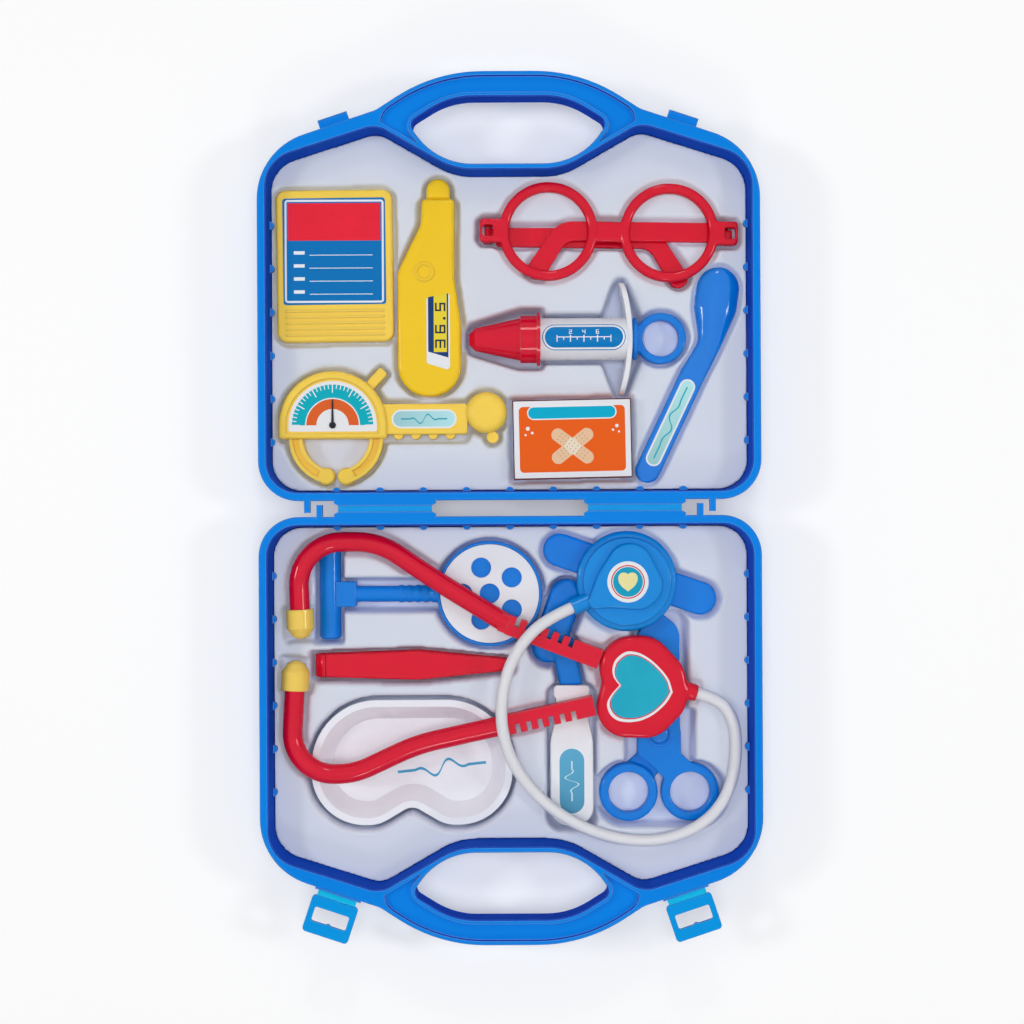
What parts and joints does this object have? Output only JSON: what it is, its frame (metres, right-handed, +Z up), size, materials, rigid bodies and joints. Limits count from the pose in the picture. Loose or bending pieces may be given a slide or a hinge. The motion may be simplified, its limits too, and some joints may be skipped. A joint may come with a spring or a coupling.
{
  "type": "toy doctor case",
  "caption": "Moulded toy doctor case that opens flat on a living hinge, with latches, carry handles and fitted trays of toy medical tools.",
  "frame": {"origin": "on the floor under the middle of the hinge line, with the case open flat", "axes": "+X along the hinge, +Y into the upper half, +Z up out of the open case"},
  "size_m": [0.252, 0.4376, 0.034],
  "materials": {
    "case_blue": "satin moulded",
    "strap_cyan": "thin moulded",
    "tray_pale": "thin formed sheet",
    "yellow": "moulded",
    "red": "moulded",
    "tool_blue": "moulded",
    "white": "moulded",
    "needle_black": "thin",
    "label": "printed sticker",
    "card": "printed card",
    "hose_vinyl": "soft vinyl",
    "pin_steel": "bright"
  },
  "bodies": {
    "lower_half": {"lower_case": "case_blue", "lower_tray": "tray_pale", "hinge_webs": "strap_cyan", "latch_web_left": "strap_cyan", "latch_web_right": "strap_cyan"},
    "upper_half": {"upper_case": "case_blue", "upper_tray": "tray_pale"},
    "latch_left": {"latch_left": "case_blue"},
    "latch_right": {"latch_right": "case_blue"},
    "badge": {"badge_plate": "yellow", "badge_label": "label"},
    "thermometer": {"thermometer_body": "yellow", "thermometer_label": "label", "thermometer_tip": "yellow"},
    "glasses": {"glasses_front": "red", "glasses_pins": "pin_steel"},
    "temple_left": {"temple_left": "red"},
    "temple_right": {"temple_right": "red"},
    "syringe": {"syringe_nozzle": "red", "syringe_barrel": "white", "syringe_label": "label"},
    "plunger": {"syringe_plunger": "tool_blue"},
    "spoon": {"spoon": "tool_blue", "spoon_label": "label"},
    "gauge": {"gauge_body": "yellow", "gauge_dial": "label", "gauge_label": "label"},
    "needle": {"gauge_needle": "needle_black"},
    "carton": {"carton_sleeve": "card", "carton_flaps": "card"},
    "hammer": {"hammer_head": "tool_blue", "hammer_handle": "tool_blue", "hammer_face": "white"},
    "tweezers": {"tweezers_lower_arm": "red", "tweezers_bend": "red"},
    "tweezers_arm": {"tweezers_upper_arm": "red"},
    "kidney_dish": {"kidney_dish": "white"},
    "ear_scope": {"scope_handle": "white", "scope_label": "label", "scope_head": "tool_blue"},
    "depressor": {"tongue_depressor": "tool_blue"},
    "scissors": {"scissors_lower_lever": "tool_blue", "scissors_rivet": "tool_blue"},
    "scissors_lever": {"scissors_upper_lever": "tool_blue"},
    "stethoscope": {"heart_body": "red", "heart_label": "label", "ear_tube_upper": "red", "ear_tube_lower": "red", "ear_tip_upper": "yellow", "ear_tip_lower": "yellow", "hose": "hose_vinyl", "chest_body": "tool_blue", "chest_cap": "tool_blue", "chest_label": "label"}
  },
  "joints": [
    {"name": "case_hinge", "type": "hinge", "parent": "lower_half", "child": "upper_half", "pos_m": [0, 0, 0.03415], "axis": [-1, 0, 0], "range_deg": [-180, 0], "deforming": ["hinge_webs"]},
    {"name": "latch_left_hinge", "type": "hinge", "parent": "lower_half", "child": "latch_left", "pos_m": [-0.08773, -0.1951, 0.032], "axis": [0.9487, -0.3163, 0], "range_deg": [-90, 0], "deforming": ["latch_web_left"]},
    {"name": "latch_right_hinge", "type": "hinge", "parent": "lower_half", "child": "latch_right", "pos_m": [0.08773, -0.1951, 0.032], "axis": [0.9487, 0.3163, 0], "range_deg": [-90, 0], "deforming": ["latch_web_right"]},
    {"name": "badge_lift", "type": "slide", "parent": "upper_half", "child": "badge", "axis": [0, 0, 1], "range_m": [0, 0.08]},
    {"name": "thermometer_lift", "type": "slide", "parent": "upper_half", "child": "thermometer", "axis": [0, 0, 1], "range_m": [0, 0.08]},
    {"name": "glasses_lift", "type": "slide", "parent": "upper_half", "child": "glasses", "axis": [0, 0, 1], "range_m": [0, 0.28]},
    {"name": "temple_left_hinge", "type": "hinge", "parent": "glasses", "child": "temple_left", "pos_m": [-0.01059, 0.14111, 0.0125], "axis": [0.0175, 0.9998, 0], "range_deg": [0, 90]},
    {"name": "temple_right_hinge", "type": "hinge", "parent": "glasses", "child": "temple_right", "pos_m": [0.11239, 0.13896, 0.016], "axis": [-0.0175, -0.9998, 0], "range_deg": [0, 90]},
    {"name": "syringe_lift", "type": "slide", "parent": "upper_half", "child": "syringe", "axis": [0, 0, 1], "range_m": [0, 0.28]},
    {"name": "plunger_slide", "type": "slide", "parent": "syringe", "child": "plunger", "axis": [1, 0, 0], "range_m": [0, 0.03]},
    {"name": "spoon_lift", "type": "slide", "parent": "upper_half", "child": "spoon", "axis": [0, 0, 1], "range_m": [0, 0.08]},
    {"name": "gauge_lift", "type": "slide", "parent": "upper_half", "child": "gauge", "axis": [0, 0, 1], "range_m": [0, 0.08]},
    {"name": "needle_turn", "type": "hinge", "parent": "gauge", "child": "needle", "pos_m": [-0.08959, 0.0424, 0.024], "axis": [0, 0, 1], "range_deg": [-80, 80]},
    {"name": "carton_lift", "type": "slide", "parent": "upper_half", "child": "carton", "axis": [0, 0, 1], "range_m": [0, 0.08]},
    {"name": "stethoscope_lift", "type": "slide", "parent": "lower_half", "child": "stethoscope", "axis": [0, 0, 1], "range_m": [0, 0.16]},
    {"name": "hammer_lift", "type": "slide", "parent": "lower_half", "child": "hammer", "axis": [0, 0, 1], "range_m": [0, 0.096]},
    {"name": "tweezers_lift", "type": "slide", "parent": "lower_half", "child": "tweezers", "axis": [0, 0, 1], "range_m": [0, 0.096]},
    {"name": "kidney_dish_lift", "type": "slide", "parent": "lower_half", "child": "kidney_dish", "axis": [0, 0, 1], "range_m": [0, 0.096]},
    {"name": "ear_scope_lift", "type": "slide", "parent": "lower_half", "child": "ear_scope", "axis": [0, 0, 1], "range_m": [0, 0.096]},
    {"name": "depressor_lift", "type": "slide", "parent": "lower_half", "child": "depressor", "axis": [0, 0, 1], "range_m": [0, 0.096]},
    {"name": "scissors_lift", "type": "slide", "parent": "lower_half", "child": "scissors", "axis": [0, 0, 1], "range_m": [0, 0.096]},
    {"name": "scissors_open", "type": "hinge", "parent": "scissors", "child": "scissors_lever", "pos_m": [0.07598, -0.11621, 0.0114], "axis": [0, 0, 1], "range_deg": [0, 24]},
    {"name": "tweezers_squeeze", "type": "hinge", "parent": "tweezers", "child": "tweezers_arm", "pos_m": [-0.09513, -0.0803, 0.00885], "axis": [0, 1, 0], "range_deg": [0, 3.6], "stiffness_Nm_per_rad": 0.5, "deforming": ["tweezers_bend"]}
  ],
  "couplings": [
    {"joint": "temple_left_hinge", "follows": "glasses_lift", "rad_per_m": 5.6},
    {"joint": "temple_right_hinge", "follows": "glasses_lift", "rad_per_m": 0.8},
    {"joint": "plunger_slide", "follows": "syringe_lift", "ratio": 0.107},
    {"joint": "hammer_lift", "follows": "stethoscope_lift", "ratio": 0.6},
    {"joint": "tweezers_lift", "follows": "stethoscope_lift", "ratio": 0.6},
    {"joint": "kidney_dish_lift", "follows": "stethoscope_lift", "ratio": 0.6},
    {"joint": "ear_scope_lift", "follows": "stethoscope_lift", "ratio": 0.6},
    {"joint": "depressor_lift", "follows": "stethoscope_lift", "ratio": 0.6},
    {"joint": "scissors_lift", "follows": "stethoscope_lift", "ratio": 0.6},
    {"joint": "scissors_open", "follows": "stethoscope_lift", "rad_per_m": 2.4}
  ]
}
